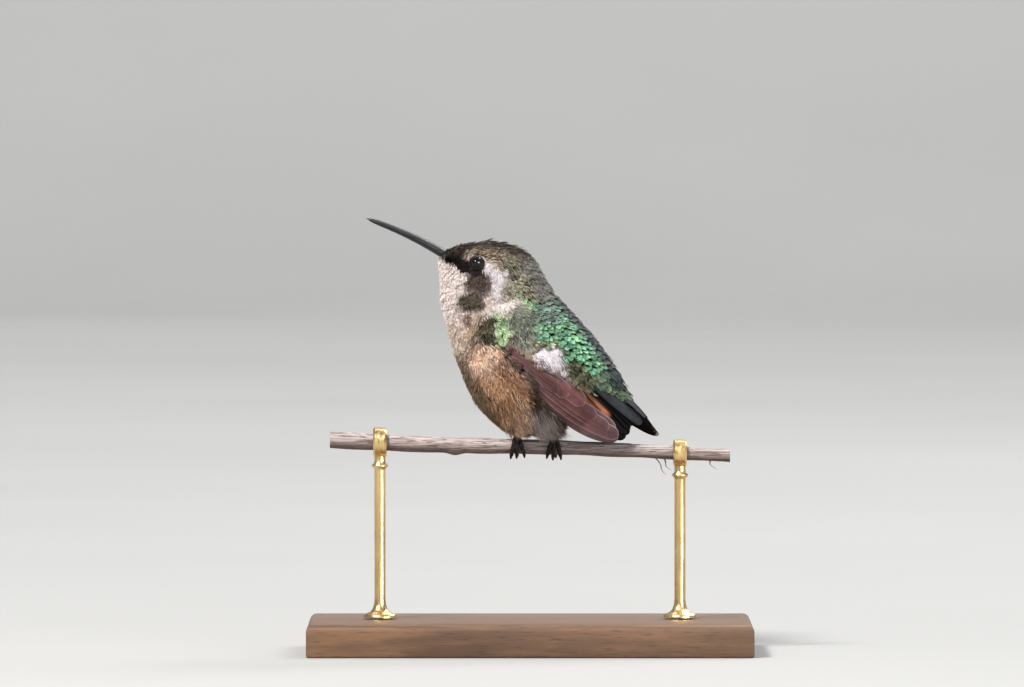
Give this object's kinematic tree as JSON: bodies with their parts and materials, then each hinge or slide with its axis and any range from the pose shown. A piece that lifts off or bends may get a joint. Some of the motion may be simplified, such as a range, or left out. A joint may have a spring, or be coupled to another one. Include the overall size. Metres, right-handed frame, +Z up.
{
  "type": "hummingbird display model",
  "caption": "Life-size still model of a female woodstar hummingbird gripping a cut twig, on a plain wooden display stand.",
  "frame": {"origin": "middle of the underside of the stand's base", "axes": "+Z up, -X the way the bird faces, -Y the bird's left side"},
  "size_m": [0.08, 0.042, 0.0785],
  "materials": {
    "plumage_head": "matte feather",
    "plumage_body": "iridescent green above, matte cinnamon below",
    "flight_feathers": "satin feather",
    "tail_feathers": "satin feather",
    "horn": "semi-gloss black horn",
    "eye": "wet gloss",
    "foot_skin": "scaly matte",
    "bark": "weathered, cracked bark",
    "stand_wood": "oiled satin walnut",
    "stand_brass": "satin brushed"
  },
  "bodies": {
    "root": {"head": "plumage_head", "neck": "plumage_head", "trunk": "plumage_body", "wing_left": "flight_feathers", "wing_right": "flight_feathers", "tail": "tail_feathers", "bill_upper": "horn", "bill_lower": "horn", "eye_left": "eye", "eye_right": "eye", "leg_left": "foot_skin", "leg_right": "foot_skin", "perch_twig": "bark", "stand_base": "stand_wood", "stand_rod_front": "stand_brass", "stand_rod_back": "stand_brass"}
  },
  "joints": []
}
